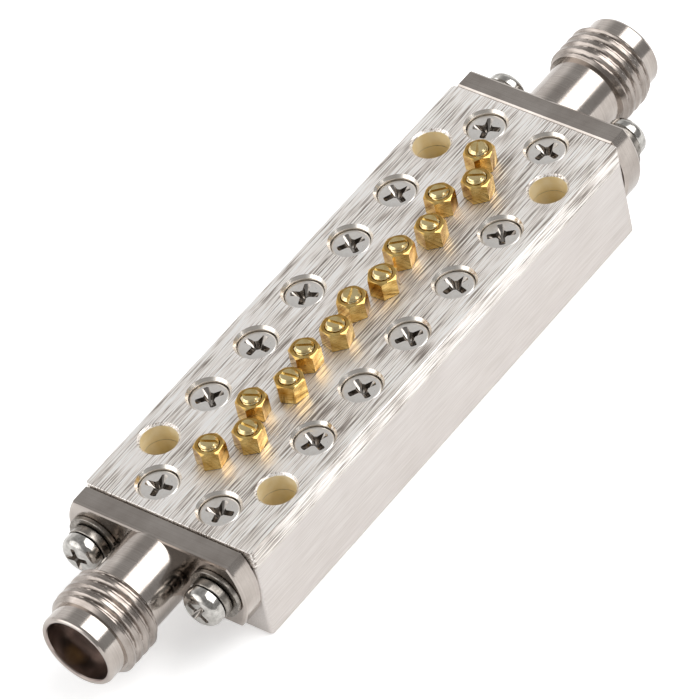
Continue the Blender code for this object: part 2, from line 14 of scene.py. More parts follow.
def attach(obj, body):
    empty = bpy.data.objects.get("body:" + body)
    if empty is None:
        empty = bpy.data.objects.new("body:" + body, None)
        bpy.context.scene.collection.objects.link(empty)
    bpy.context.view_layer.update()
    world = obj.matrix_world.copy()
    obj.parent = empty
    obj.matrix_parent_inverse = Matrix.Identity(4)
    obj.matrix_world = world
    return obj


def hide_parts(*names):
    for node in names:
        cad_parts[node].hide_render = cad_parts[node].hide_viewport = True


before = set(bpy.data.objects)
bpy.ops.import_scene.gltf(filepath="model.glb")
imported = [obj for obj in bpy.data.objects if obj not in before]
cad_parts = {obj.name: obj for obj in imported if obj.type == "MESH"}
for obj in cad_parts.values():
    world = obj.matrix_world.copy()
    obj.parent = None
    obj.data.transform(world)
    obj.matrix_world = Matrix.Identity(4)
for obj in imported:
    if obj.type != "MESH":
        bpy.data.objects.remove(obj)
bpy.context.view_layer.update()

# Block
# The body is one bar of aluminium, milled to shape with a row of cavities in its top, then silver plated.
# Four plain holes go right through it, and tapped holes take the lid's screws and the jacks' screws.
MM = 0.001
LENGTH, WIDTH, HEIGHT = 39.64 * MM, 13.2 * MM, 7.4 * MM
LID_THICKNESS = 1.4 * MM
SIDE_OFFSET = -0.2 * MM
CORNER_RADIUS = 0.3 * MM
OUTER_EDGE = 0.07 * MM
SEAM_EDGE = 0.06 * MM
SEAT_GAP = 0.03 * MM
CAVITY_WIDTH, CAVITY_DEPTH = 5.8 * MM, 2.6 * MM
IRIS_OPENING, IRIS_WALL = 3.9 * MM, 0.8 * MM
END_WALL = 3.32 * MM
THROUGH_HOLE, THROUGH_CHAMFER = 2.5 * MM, 0.16 * MM
THROUGH_PLACES = [(x * MM, y * MM) for x in (-14.65, 14.65) for y in (-4.85, 4.45)]
IRIS_TUNERS_IN_MM = (
    (-12.3, -1.14),
    (-7.575, -0.84),
    (-2.525, -0.74),
    (2.525, -0.74),
    (7.575, -0.84),
    (12.3, -1.14),
)
IRIS_TUNERS = [(x * MM, y * MM) for x, y in IRIS_TUNERS_IN_MM]
LID_SCREW_HOLE, LID_SCREW_HOLE_FLOOR = 0.75 * MM, 3.3 * MM
LID_SCREW_PLACES = [(x * MM, y * MM) for x in (-17.65, 17.65) for y in (-2.6, 2.2)]
LID_SCREW_PLACES += [(index * 5.05 * MM, y * MM) for index in (-2, -1, 0, 1, 2) for y in (-4.35, 3.95)]
LID_SCREW_PLACES.sort()
JACK_HEIGHT = 4.72 * MM
FEED_HOLE = 0.58 * MM
FLANGE_SCREW_HOLE, FLANGE_SCREW_HOLE_DEPTH = 0.85 * MM, 3.1 * MM
FLANGE_SCREW_SIDES = (-4.8 * MM, 4.8 * MM)
OVERCUT = 0.5 * MM  # how far a cutter goes past the face that it cuts


def mesh_of(name, points, faces):
    mesh = bpy.data.meshes.new(name)
    mesh.from_pydata([tuple(point) for point in points], [], faces)
    outward = bmesh.new()
    outward.from_mesh(mesh)
    bmesh.ops.recalc_face_normals(outward, faces=outward.faces)
    outward.to_mesh(mesh)
    outward.free()
    return mesh


def stacked(name, rings):
    """A closed solid through rings of equal length, with both ends filled."""
    count = len(rings[0])
    points = [point for ring in rings for point in ring]
    faces = [list(range(count)), list(range(len(points) - count, len(points)))]
    for low in range(0, len(points) - count, count):
        for step in range(count):
            after = (step + 1) % count
            faces.append([low + step, low + after, low + count + after, low + count + step])
    return mesh_of(name, points, faces)


def circle(radius, height, segments):
    turns = [2 * math.pi * step / segments for step in range(segments)]
    return [(radius * math.cos(turn), radius * math.sin(turn), height) for turn in turns]


def turned(name, profile, segments):
    return stacked(name, [circle(radius, height, segments) for radius, height in profile])


def rounding(radius, steps):
    """Inset and rise along a quarter-round edge, from the outer face to the top face."""
    quarter = [math.pi / 2 * step / steps for step in range(steps + 1)]
    return [(radius * (1 - math.cos(angle)), radius * math.sin(angle)) for angle in quarter]


def slab(name, bottom, top, bottom_edge, top_edge):
    """The filter's outline between two heights, with rounded edges and upright corners."""
    levels = [(inset, bottom + bottom_edge - rise) for inset, rise in reversed(rounding(bottom_edge, 4))]
    levels += [(inset, top - top_edge + rise) for inset, rise in rounding(top_edge, 4)]
    rings = []
    for inset, height in levels:
        radius = CORNER_RADIUS - inset
        ring = []
        for corner, (along, across) in enumerate(((1, 1), (-1, 1), (-1, -1), (1, -1))):
            for step in range(9):
                angle = (corner + step / 8) * math.pi / 2
                x = along * (LENGTH / 2 - CORNER_RADIUS) + radius * math.cos(angle)
                y = SIDE_OFFSET + across * (WIDTH / 2 - CORNER_RADIUS) + radius * math.sin(angle)
                ring.append((x, y, height))
        rings.append(ring)
    return stacked(name, rings)


def placed(name, mesh, place=None):
    made = bpy.data.objects.new(name, mesh)
    bpy.context.scene.collection.objects.link(made)
    if place:
        made.matrix_world = place
    return made


def gathered(name, meshes_and_places):
    """One mesh from closed shapes that stand apart."""
    together = bmesh.new()
    for mesh, place in meshes_and_places:
        moved = mesh.copy()
        moved.transform(place)
        together.from_mesh(moved)
        bpy.data.meshes.remove(moved)
    mesh = bpy.data.meshes.new(name)
    together.to_mesh(mesh)
    together.free()
    return mesh


def carved(mesh, *steps):
    """The mesh after Boolean steps, each an operation and another mesh."""
    work = placed("work", mesh)
    others = []
    for operation, other_mesh in steps:
        other = placed("other", other_mesh)
        others.append(other)
        modifier = work.modifiers.new("step", "BOOLEAN")
        modifier.operation = operation
        modifier.solver = "EXACT"
        modifier.object = other
    graph = bpy.context.evaluated_depsgraph_get()
    graph.update()
    result = bpy.data.meshes.new_from_object(work.evaluated_get(graph), depsgraph=graph)
    for used in (work, *others):
        bpy.data.objects.remove(used)
    result.name = mesh.name
    return result


def smooth(mesh, sharp_above=30):
    mesh.shade_smooth()
    mesh.set_sharp_from_angle(angle=math.radians(sharp_above))
    return mesh


def at(place, height=0.0):
    return Matrix.Translation((*place, height))


def jack_axis(end):
    """From a jack's own frame, +Z out of its mouth and +X up, to its end face of the block."""
    outward = Vector((end, 0, 0))
    up = Vector((0, 0, 1))
    turn = Matrix((up, outward.cross(up), outward)).transposed().to_4x4()
    return Matrix.Translation((end * LENGTH / 2, 0, JACK_HEIGHT)) @ turn


def cavity_outline():
    """Seven cavities in one outline, with a wall and a narrow opening under each iris tuning screw."""
    side = [(-LENGTH / 2 + END_WALL, CAVITY_WIDTH / 2)]
    for middle, _ in IRIS_TUNERS:
        before, after = middle - IRIS_WALL / 2, middle + IRIS_WALL / 2
        side += [(before, CAVITY_WIDTH / 2), (before, IRIS_OPENING / 2)]
        side += [(after, IRIS_OPENING / 2), (after, CAVITY_WIDTH / 2)]
    side.append((LENGTH / 2 - END_WALL, CAVITY_WIDTH / 2))
    left = [(x, SIDE_OFFSET + y) for x, y in side]
    return left + [(x, SIDE_OFFSET - y) for x, y in reversed(side)]


def through_cutter():
    """Cutter for a mounting hole through block and lid, with its walls marked for the coat."""
    radius, chamfer = THROUGH_HOLE / 2, THROUGH_CHAMFER
    wide = radius + chamfer + OVERCUT
    levels = ((wide, -OVERCUT), (radius, chamfer), (radius, HEIGHT - chamfer), (wide, HEIGHT + OVERCUT))
    cutter = turned("through", levels, 72)
    for face in cutter.polygons[2 + 72 : 2 + 144]:
        face.material_index = 1
    return cutter


def linear(hex_colour):
    """Linear red, green, blue and alpha of an sRGB hex colour."""
    shares = [int(hex_colour[start : start + 2], 16) / 255 for start in (1, 3, 5)]
    return (*[share / 12.92 if share <= 0.04045 else ((share + 0.055) / 1.055) ** 2.4 for share in shares], 1)


def add(tree, kind, settings=None, **links):
    """Add a node, set its properties, and set or link its inputs: by name with _ for a space, or in0, in1."""
    made = tree.nodes.new(kind)
    for key, value in (settings or {}).items():
        setattr(made, key, value)
    for key, value in links.items():
        numbered = key.startswith("in") and key[2:].isdigit()
        slot = made.inputs[int(key[2:]) if numbered else key.replace("_", " ")]
        if isinstance(value, bpy.types.NodeSocket):
            tree.links.new(value, slot)
        else:
            slot.default_value = value
    return made


def new_material(name):
    made = bpy.data.materials.new(name)
    made.use_nodes = True
    tree = made.node_tree
    tree.nodes.clear()
    shader = add(tree, "ShaderNodeBsdfPrincipled")
    add(tree, "ShaderNodeOutputMaterial", Surface=shader.outputs[0])
    return made, tree, shader


def blend(tree, stops, factor):
    """A colour ramp through (position, hex colour) stops."""
    ramp = add(tree, "ShaderNodeValToRGB", Fac=factor)
    elements = ramp.color_ramp.elements
    for index, (position, shade) in enumerate(stops):
        element = elements[index] if index < 2 else elements.new(position)
        element.position = position
        element.color = linear(shade)
    return ramp.outputs[0]


def spread(tree, value, low, high, from_low=0.0, from_high=1.0):
    """A value mapped from one range to another."""
    made = add(tree, "ShaderNodeMapRange", in0=value, in1=from_low, in2=from_high, in3=low, in4=high)
    return made.outputs[0]


def brushed_silver(name, streak_gap, strength, stops, roughness):
    """Silver plate over aluminium that was brushed along its length: long fine streaks, soft highlights.

    Real brush lines are some hundredths of a millimetre apart, too fine to show in the render, so they are
    drawn as coarse as streak_gap. A band beside the row of nuts shows more dark lines than the rest.
    """
    made, tree, shader = new_material(name)
    spot = add(tree, "ShaderNodeTexCoord").outputs["Object"]
    fine = 1 / streak_gap
    layers = []
    # Two layers of streaks, each streak about thirty times as long as it is wide.
    for across, along in ((fine, fine * 0.03), (fine * 0.45, fine * 0.015)):
        stretched = add(
            tree, "ShaderNodeVectorMath", {"operation": "MULTIPLY"},
            in0=spot, in1=(along, across, across),
        )
        noise = add(
            tree, "ShaderNodeTexNoise",
            Vector=stretched.outputs[0], Scale=1.0, Detail=2.0, Roughness=0.6,
        )
        layers.append(noise.outputs["Fac"])
    cloud = add(tree, "ShaderNodeTexNoise", Vector=spot, Scale=0.35 / MM, Detail=2.0).outputs["Fac"]
    weighed = {"operation": "MULTIPLY_ADD"}
    both = add(tree, "ShaderNodeMath", weighed, in0=layers[1], in1=0.12, in2=layers[0]).outputs[0]
    with_cloud = add(tree, "ShaderNodeMath", weighed, in0=cloud, in1=0.25, in2=both).outputs[0]
    sideways = add(tree, "ShaderNodeSeparateXYZ", Vector=spot).outputs["Y"]
    band_middle, band_inner, band_outer = 2.3 * MM, 0.9 * MM, 2.6 * MM
    from_band = add(tree, "ShaderNodeMath", {"operation": "ADD"}, in0=sideways, in1=band_middle).outputs[0]
    away = add(tree, "ShaderNodeMath", {"operation": "ABSOLUTE"}, in0=from_band).outputs[0]
    deepest = spread(tree, away, 0.56, 0.52, band_inner, band_outer)
    tone = spread(tree, with_cloud, 0.0, 1.0, deepest, 0.83)
    tree.links.new(blend(tree, stops, tone), shader.inputs["Base Color"])
    shader.inputs["Metallic"].default_value = 1.0
    tree.links.new(spread(tree, tone, roughness[1], roughness[0]), shader.inputs["Roughness"])
    bump = add(tree, "ShaderNodeBump", Strength=strength, Distance=0.02 * MM, Height=both)
    tree.links.new(bump.outputs[0], shader.inputs["Normal"])
    return made


def coated_bore():
    """Hole walls with a thin yellow conversion coat, which the plating doesn't cover: tan and satin.

    The coat's blotches are 0.6 mm wide.
    """
    made, tree, shader = new_material("yellow_conversion_coat")
    spot = add(tree, "ShaderNodeTexCoord").outputs["Object"]
    mottle = add(tree, "ShaderNodeTexNoise", Vector=spot, Scale=1.6 / MM, Detail=4.0).outputs["Fac"]
    tree.links.new(blend(tree, ((0.3, "#ecd9a8"), (0.7, "#f6e8c6")), mottle), shader.inputs["Base Color"])
    shader.inputs["Metallic"].default_value = 0.1
    tree.links.new(spread(tree, mottle, 0.4, 0.55), shader.inputs["Roughness"])
    return made


def finished(piece, finishes, body, slot, *nodes):
    """Give a piece its finishes, the body that carries it and the CAD nodes it stands for. The slot argument
    is not used.
    """
    indices = [face.material_index for face in piece.data.polygons]
    piece.data.materials.clear()
    for finish in finishes:
        piece.data.materials.append(finish)
    piece.data.polygons.foreach_set("material_index", indices)
    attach(piece, body)
    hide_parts(*nodes)


block_top = HEIGHT - LID_THICKNESS - SEAT_GAP
cavity_floor = HEIGHT - LID_THICKNESS - CAVITY_DEPTH
cavities = stacked(
    "cavities",
    [[(x, y, height) for x, y in cavity_outline()] for height in (cavity_floor, HEIGHT)],
)
lid_screw_hole = turned(
    "lid_screw_hole", ((LID_SCREW_HOLE, LID_SCREW_HOLE_FLOOR), (LID_SCREW_HOLE, HEIGHT)), 32
)
upright_holes = [(lid_screw_hole, at(place)) for place in LID_SCREW_PLACES]
upright_holes += [(through_cutter(), at(place)) for place in THROUGH_PLACES]
feed_hole = turned("feed_hole", ((FEED_HOLE, -END_WALL - OVERCUT), (FEED_HOLE, OVERCUT)), 32)
flange_screw_hole = turned(
    "flange_screw_hole", ((FLANGE_SCREW_HOLE, -FLANGE_SCREW_HOLE_DEPTH), (FLANGE_SCREW_HOLE, OVERCUT)), 32
)
level_holes = []
for end in (-1, 1):
    level_holes.append((feed_hole, jack_axis(end)))
    for side in FLANGE_SCREW_SIDES:
        level_holes.append((flange_screw_hole, jack_axis(end) @ Matrix.Translation((0, side, 0))))
block_mesh = carved(
    slab("block", 0, block_top, OUTER_EDGE, SEAM_EDGE),
    ("DIFFERENCE", cavities),
    ("DIFFERENCE", gathered("upright_holes", upright_holes)),
    ("DIFFERENCE", gathered("level_holes", level_holes)),
)
block = placed("block", smooth(block_mesh))
block_silver = brushed_silver(
    "brushed_silver_plate_sides",
    streak_gap=0.1 * MM,
    strength=0.07,
    stops=((0.0, "#d0cac5"), (0.5, "#d6d0cc"), (1.0, "#dbd6d2")),
    roughness=(0.46, 0.54),
)
bore_coat = coated_bore()
finished(block, (block_silver, bore_coat), "housing", "silver_plated_block", "body_block")

# Jack shells
# Each jack is turned and milled from one piece of stainless steel: flange, smooth neck, thread and pilot.
# The thread is 6.35 mm wide with 36 turns to 25.4 mm. Two screws hold the flange to the block's end face.
JACK_LENGTH = 9.83 * MM
FLANGE_HEIGHT, FLANGE_FLAT, FLANGE_END_RADIUS = 5.3 * MM, 12.2 * MM, 4.65 * MM
FLANGE_THICKNESS, FLANGE_CHAMFER = 1.66 * MM, 0.19 * MM
NECK, PILOT, THREAD = 2.64 * MM, 2.725 * MM, 3.175 * MM
THREAD_START, THREAD_END, THREAD_CHAMFER = 5.45 * MM, 8.45 * MM, 0.28 * MM
THREAD_PITCH, THREAD_DEPTH = 25.4 / 36 * MM, 0.24 * MM
MOUTH, MOUTH_DEPTH, OUTER_CONDUCTOR = 2.31 * MM, 1.9 * MM, 1.46 * MM
INSULATOR_POCKET, INSULATOR_POCKET_DEPTH = 2.05 * MM, 1.63 * MM
FLANGE_HOLE = 0.95 * MM


def thread_radius(angle, height, crest, depth, pitch, start, stop, chamfer):
    """Radius of a thread with broad flat crests and narrow grooves, chamfered at both ends."""
    turn = (height - start) / pitch - angle / (2 * math.pi)
    from_groove = abs(2 * (turn - math.floor(turn)) - 1)
    groove = min(max((0.66 - from_groove) / 0.5, 0), 1)
    return min(crest - depth * groove, crest - chamfer + min(height - start, stop - height))


def threaded_rings(crest, depth, pitch, start, stop, chamfer, segments, per_pitch):
    rows = round((stop - start) / pitch * per_pitch)
    rings = []
    for row in range(rows + 1):
        height = start + (stop - start) * row / rows
        ring = []
        for step in range(segments):
            angle = 2 * math.pi * step / segments
            radius = thread_radius(angle, height, crest, depth, pitch, start, stop, chamfer)
            ring.append((radius * math.cos(angle), radius * math.sin(angle), height))
        rings.append(ring)
    return rings


def flange_ring(inset, height):
    """The flange's outline: straight long sides and round ends, made smaller by the inset."""
    half = FLANGE_HEIGHT / 2 - inset
    centre = FLANGE_FLAT / 2 - math.sqrt(FLANGE_END_RADIUS**2 - (FLANGE_HEIGHT / 2) ** 2)
    radius = FLANGE_END_RADIUS - inset
    reach = math.asin(half / radius)
    ring = []
    for side in (1, -1):
        for step in range(25):
            angle = reach * (step / 12 - 1)
            across, along = radius * math.sin(angle), centre + radius * math.cos(angle)
            ring.append((-side * across, side * along, height))
    return ring


SEGMENTS = 128
barrel_rings = [circle(NECK, height, SEGMENTS) for height in (0.8 * MM, THREAD_START - 0.001 * MM)]
barrel_rings += threaded_rings(
    THREAD, THREAD_DEPTH, THREAD_PITCH, THREAD_START, THREAD_END, THREAD_CHAMFER, SEGMENTS, 24
)
barrel_levels = (
    (PILOT, THREAD_END + 0.001 * MM),
    (PILOT, JACK_LENGTH - 0.2 * MM),
    (PILOT - 0.05 * MM, JACK_LENGTH - 0.08 * MM),
    (PILOT - 0.14 * MM, JACK_LENGTH),
)
barrel_rings += [circle(radius, height, SEGMENTS) for radius, height in barrel_levels]
flange_levels = (
    (FLANGE_CHAMFER, 0),
    (0, FLANGE_CHAMFER),
    (0, FLANGE_THICKNESS - FLANGE_CHAMFER),
    (FLANGE_CHAMFER * 0.3, FLANGE_THICKNESS - FLANGE_CHAMFER * 0.3),
    (FLANGE_CHAMFER, FLANGE_THICKNESS),
)
bore = turned(
    "bore",
    (
        (INSULATOR_POCKET, -OVERCUT),
        (INSULATOR_POCKET, INSULATOR_POCKET_DEPTH),
        (OUTER_CONDUCTOR, INSULATOR_POCKET_DEPTH),
        (OUTER_CONDUCTOR, JACK_LENGTH - MOUTH_DEPTH - 0.06 * MM),
        (OUTER_CONDUCTOR + 0.06 * MM, JACK_LENGTH - MOUTH_DEPTH),
        (MOUTH, JACK_LENGTH - MOUTH_DEPTH),
        (MOUTH, JACK_LENGTH - 0.12 * MM),
        (MOUTH + 0.04 * MM, JACK_LENGTH - 0.04 * MM),
        (MOUTH + 0.12 * MM, JACK_LENGTH),
        (MOUTH + 0.3 * MM, JACK_LENGTH + OVERCUT),
    ),
    SEGMENTS,
)
# The bore's faces take the second finish, the darker steel that paints the shade inside the mouth.
for face in bore.polygons:
    face.material_index = 1
flange_hole = turned("flange_hole", ((FLANGE_HOLE, -OVERCUT), (FLANGE_HOLE, FLANGE_THICKNESS + OVERCUT)), 48)
flange_holes = [(flange_hole, Matrix.Translation((0, side, 0))) for side in FLANGE_SCREW_SIDES]
shell_mesh = smooth(
    carved(
        stacked("jack_shell", [flange_ring(inset, height) for inset, height in flange_levels]),
        ("UNION", stacked("barrel", barrel_rings)),
        ("DIFFERENCE", bore),
        ("DIFFERENCE", gathered("flange_holes", flange_holes)),
    ),
    sharp_above=20,
)


def tool_cut_metal(name, dark, light, roughness):
    """Metal as the cutting tool left it: clear reflections, broken by faint rings that are 0.1 mm apart.

    Real feed marks are too fine to show in the render, so they are drawn as coarse as that.
    """
    made, tree, shader = new_material(name)
    spot = add(tree, "ShaderNodeTexCoord").outputs["Object"]
    height = add(tree, "ShaderNodeSeparateXYZ", Vector=spot).outputs["Z"]
    rings = add(
        tree, "ShaderNodeTexNoise", {"noise_dimensions": "1D"},
        W=height, Scale=9 / MM, Detail=2.0,
    ).outputs["Fac"]
    cloud = add(tree, "ShaderNodeTexNoise", Vector=spot, Scale=0.6 / MM, Detail=4.0).outputs["Fac"]
    weighed = {"operation": "MULTIPLY_ADD"}
    tone = add(tree, "ShaderNodeMath", weighed, in0=rings, in1=0.4, in2=cloud).outputs[0]
    level = spread(tree, tone, 0.0, 1.0, 0.45, 0.95)
    tree.links.new(blend(tree, ((0.0, dark), (1.0, light)), level), shader.inputs["Base Color"])
    shader.inputs["Metallic"].default_value = 1.0
    tree.links.new(spread(tree, level, roughness[1], roughness[0]), shader.inputs["Roughness"])
    bump = add(tree, "ShaderNodeBump", Strength=0.06, Distance=0.01 * MM, Height=rings)
    tree.links.new(bump.outputs[0], shader.inputs["Normal"])
    return made


def bore_steel_with_painted_shade():
    """The jack's bored inside, a little darker and browner than the outside, in blotches 0.7 mm wide: painted
    shade, so that the mouth looks dark.
    """
    made, tree, shader = new_material("browned_bore_steel")
    spot = add(tree, "ShaderNodeTexCoord").outputs["Object"]
    mottle = add(tree, "ShaderNodeTexNoise", Vector=spot, Scale=1.5 / MM, Detail=3.0).outputs["Fac"]
    tree.links.new(blend(tree, ((0.3, "#9a8c86"), (0.7, "#b4a7a0")), mottle), shader.inputs["Base Color"])
    shader.inputs["Metallic"].default_value = 1.0
    tree.links.new(spread(tree, mottle, 0.2, 0.3), shader.inputs["Roughness"])
    return made


# The passivated steel of flange, neck and pilot is grey-brown, and the cut thread between them is darker.
for face in shell_mesh.polygons:
    if THREAD_START < face.center.z < THREAD_END and face.center.xy.length > PILOT:
        face.material_index = 2
stainless = tool_cut_metal("passivated_stainless_steel", "#a39a93", "#c2bab3", (0.12, 0.2))
thread_steel = tool_cut_metal("cut_thread_steel", "#857c75", "#b7aea7", (0.16, 0.26))
bore_steel = bore_steel_with_painted_shade()
for name, end in (("near", -1), ("far", 1)):
    seat = jack_axis(end) @ Matrix.Translation((0, 0, SEAT_GAP))
    shell = placed(f"{name}_shell", shell_mesh, seat)
    finished(shell, (stainless, bore_steel, thread_steel), "housing", "stainless_steel", f"{name}_jack_shell")

# Insulators
# A white fluoropolymer ring at the back of each jack holds its centre contact away from the shell.
# It is turned from rod and sits in a pocket that is bored from the flange's side.
ring_levels = ((0.3, 0.0), (1.96, 0.0), (2.0, 0.04), (2.0, 1.53), (1.96, 1.57), (0.3, 1.57))


def turned_ring(name, profile, segments):
    """A ring turned about Z from a closed profile of (radius, height) points."""
    count = len(profile)
    points = [point for radius, height in profile for point in circle(radius, height, segments)]
    faces = []
    for level in range(count):
        low, high = level * segments, (level + 1) % count * segments
        for step in range(segments):
            after = (step + 1) % segments
            faces.append([low + step, low + after, high + after, high + step])
    return mesh_of(name, points, faces)


def fluoropolymer():
    """White fluoropolymer, machined: waxy and half matt, with a faint mottle 0.25 mm wide."""
    made, tree, shader = new_material("machined_fluoropolymer")
    spot = add(tree, "ShaderNodeTexCoord").outputs["Object"]
    mottle = add(tree, "ShaderNodeTexNoise", Vector=spot, Scale=4 / MM, Detail=3.0).outputs["Fac"]
    tree.links.new(blend(tree, ((0.3, "#dcdad4"), (0.7, "#ebe9e4")), mottle), shader.inputs["Base Color"])
    tree.links.new(spread(tree, mottle, 0.4, 0.55), shader.inputs["Roughness"])
    shader.inputs["IOR"].default_value = 1.35
    return made


insulator_profile = [(radius * MM, height * MM) for radius, height in ring_levels]
insulator_mesh = smooth(turned_ring("insulator", insulator_profile, 64))
white_polymer = fluoropolymer()
for name, end in (("near", -1), ("far", 1)):
    seat = jack_axis(end) @ Matrix.Translation((0, 0, SEAT_GAP))
    insulator = placed(f"{name}_insulator", insulator_mesh, seat)
    finished(insulator, (white_polymer,), "housing", "fluoropolymer", f"{name}_jack_insulator")

# Centre contacts
# Each contact is turned from beryllium copper and gold plated. Its socket is slit so that it grips a plug's
# pin, and its thin rear pin reaches through the end wall into the first cavity.
CONTACT_TOP = JACK_LENGTH - MOUTH_DEPTH
SOCKET, SOCKET_DEPTH, SLIT_DEPTH = 0.45 * MM, 2.4 * MM, 2.0 * MM
contact_levels = (
    (0.18, -4.32),
    (0.25, -4.25),
    (0.25, 1.63),
    (0.6, 1.63),
    (0.635, 1.67),
    (0.635, 7.86),
    (0.57, 7.93),
)
slit_corners = [(x * MM, y * MM) for x, y in ((-0.08, -1), (0.08, -1), (0.08, 1), (-0.08, 1))]


def gold_plate():
    """Gold over copper alloy, turned: yellow darkened as painted shade, since it sits deep in the mouth, with
    soft highlights and blotches 0.4 mm wide.
    """
    made, tree, shader = new_material("gold_plate")
    spot = add(tree, "ShaderNodeTexCoord").outputs["Object"]
    mottle = add(tree, "ShaderNodeTexNoise", Vector=spot, Scale=2.5 / MM, Detail=3.0).outputs["Fac"]
    tree.links.new(blend(tree, ((0.3, "#b38f55"), (0.7, "#cdab6e")), mottle), shader.inputs["Base Color"])
    shader.inputs["Metallic"].default_value = 1.0
    tree.links.new(spread(tree, mottle, 0.3, 0.45), shader.inputs["Roughness"])
    return made


slit_heights = (CONTACT_TOP - SLIT_DEPTH, CONTACT_TOP + OVERCUT)
slit = stacked("slit", [[(x, y, height) for x, y in slit_corners] for height in slit_heights])
socket = turned(
    "socket",
    (
        (SOCKET, CONTACT_TOP - SOCKET_DEPTH),
        (SOCKET, CONTACT_TOP - 0.05 * MM),
        (SOCKET + 0.15 * MM, CONTACT_TOP + 0.1 * MM),
    ),
    64,
)
contact_mesh = smooth(
    carved(
        turned("contact", [(radius * MM, height * MM) for radius, height in contact_levels], 64),
        ("DIFFERENCE", socket),
        ("DIFFERENCE", slit),
    )
)
gold = gold_plate()
for name, end in (("near", -1), ("far", 1)):
    seat = jack_axis(end) @ Matrix.Translation((0, 0, SEAT_GAP))
    contact = placed(f"{name}_contact", contact_mesh, seat)
    finished(contact, (gold,), "housing", "gold_plated_contact", f"{name}_jack_contact")

# Flange screws and washers
# Two pan-head screws with cross recesses hold each jack, each over a split spring washer and a flat washer.
# Screws and washers are of plain steel, cold headed or stamped, and a little darkened.
FLAT_WASHER_THICKNESS, SPRING_WASHER_THICKNESS = 0.32 * MM, 0.63 * MM
WASHER_HOLE, FLAT_WASHER, SPRING_WASHER = 0.9 * MM, 1.85 * MM, 1.45 * MM
WASHER_EDGE, SPRING_RISE, SPRING_GAP = 0.04 * MM, 0.05 * MM, math.radians(16)
PAN_HEAD_HEIGHT = 1.0 * MM


def plain_steel(name, dark, light, roughness):
    """Steel as cold forming left it, bare or plated: a mottle 0.3 mm wide breaks up its highlights."""
    made, tree, shader = new_material(name)
    spot = add(tree, "ShaderNodeTexCoord").outputs["Object"]
    mottle = add(
        tree, "ShaderNodeTexNoise",
        Vector=spot, Scale=3 / MM, Detail=5.0, Roughness=0.6,
    ).outputs["Fac"]
    level = spread(tree, mottle, 0.0, 1.0, 0.3, 0.7)
    tree.links.new(blend(tree, ((0.0, dark), (1.0, light)), level), shader.inputs["Base Color"])
    shader.inputs["Metallic"].default_value = 1.0
    tree.links.new(spread(tree, level, roughness[1], roughness[0]), shader.inputs["Roughness"])
    bump = add(tree, "ShaderNodeBump", Strength=0.15, Distance=0.02 * MM, Height=mottle)
    tree.links.new(bump.outputs[0], shader.inputs["Normal"])
    return made


def cross_recess(top, span, arm, depth):
    """Cutter for a cross recess: four tapered arms, inner corners cut off, down to a small floor."""
    reach, half = span / 2, arm / 2
    corner = half * 1.7
    one_arm = (
        (reach * 0.94, -half),
        (reach, -half * 0.5),
        (reach, half * 0.5),
        (reach * 0.94, half),
        (corner, half),
        (half, corner),
    )
    outline = []
    for quarter in range(4):
        for point in one_arm:
            outline.append(Matrix.Rotation(quarter * math.pi / 2, 2) @ Vector(point))
    rings = []
    for share, scale in ((1.0, 0.32), (0.75, 0.6), (0.0, 1.0), (-1.0, 1.1)):
        rings.append([(x * scale, y * scale, top - depth * share) for x, y in outline])
    cutter = stacked("cross_recess", rings)
    # The recess faces take the second finish, a darker steel that paints the shade in the recess.
    for face in cutter.polygons:
        face.material_index = 1
    return cutter


def washer_profile(outer, thick):
    """The section through one side of a washer, with its four edges taken off."""
    inner, edge = WASHER_HOLE, WASHER_EDGE
    return [
        (inner + edge, 0),
        (outer - edge, 0),
        (outer, edge),
        (outer, thick - edge),
        (outer - edge, thick),
        (inner + edge, thick),
        (inner, thick - edge),
        (inner, edge),
    ]


def spring_ring():
    """A split ring whose two ends stand a little apart in height, as a used spring washer's do."""
    steps = 96
    section = washer_profile(SPRING_WASHER, SPRING_WASHER_THICKNESS - SPRING_RISE)
    rings = []
    for step in range(steps + 1):
        angle = SPRING_GAP / 2 + (2 * math.pi - SPRING_GAP) * step / steps
        lift = SPRING_RISE * step / steps
        ring = []
        for radius, height in section:
            ring.append((radius * math.cos(angle), radius * math.sin(angle), height + lift))
        rings.append(ring)
    return stacked("spring_washer", rings)


flat_seat = FLANGE_THICKNESS + 2 * SEAT_GAP
spring_seat = flat_seat + FLAT_WASHER_THICKNESS + SEAT_GAP
head_seat = spring_seat + SPRING_WASHER_THICKNESS + SEAT_GAP
flat_washer_mesh = smooth(turned_ring("flat_washer", washer_profile(FLAT_WASHER, FLAT_WASHER_THICKNESS), 72))
spring_washer_mesh = smooth(spring_ring())
pan_head = [(0.8, -(head_seat / MM + 3.0)), (0.8, 0), (1.32, 0.0), (1.4, 0.08), (1.4, 0.42)]
for step in range(1, 8):
    turn = math.pi / 2 * step / 8
    pan_head.append((0.75 + 0.65 * math.cos(turn), 0.42 + 0.58 * math.sin(turn)))
pan_head.append((0.6, PAN_HEAD_HEIGHT / MM))
flange_screw_mesh = smooth(
    carved(
        turned("flange_screw", [(radius * MM, height * MM) for radius, height in pan_head], 72),
        ("DIFFERENCE", cross_recess(PAN_HEAD_HEIGHT, span=1.75 * MM, arm=0.36 * MM, depth=0.5 * MM)),
    )
)
screw_steel = plain_steel("formed_steel_screw", "#9a9792", "#cfccc7", (0.1, 0.2))
# The cross recesses get a darker steel than the heads: painted shade in the recess.
recess_steel = plain_steel("struck_recess_steel", "#827c76", "#b0aaa4", (0.08, 0.16))
washer_steel = plain_steel("stamped_steel_washer", "#6f6a64", "#a49e97", (0.2, 0.36))
flange_screw_places = [(end, side) for end in (-1, 1) for side in FLANGE_SCREW_SIDES]
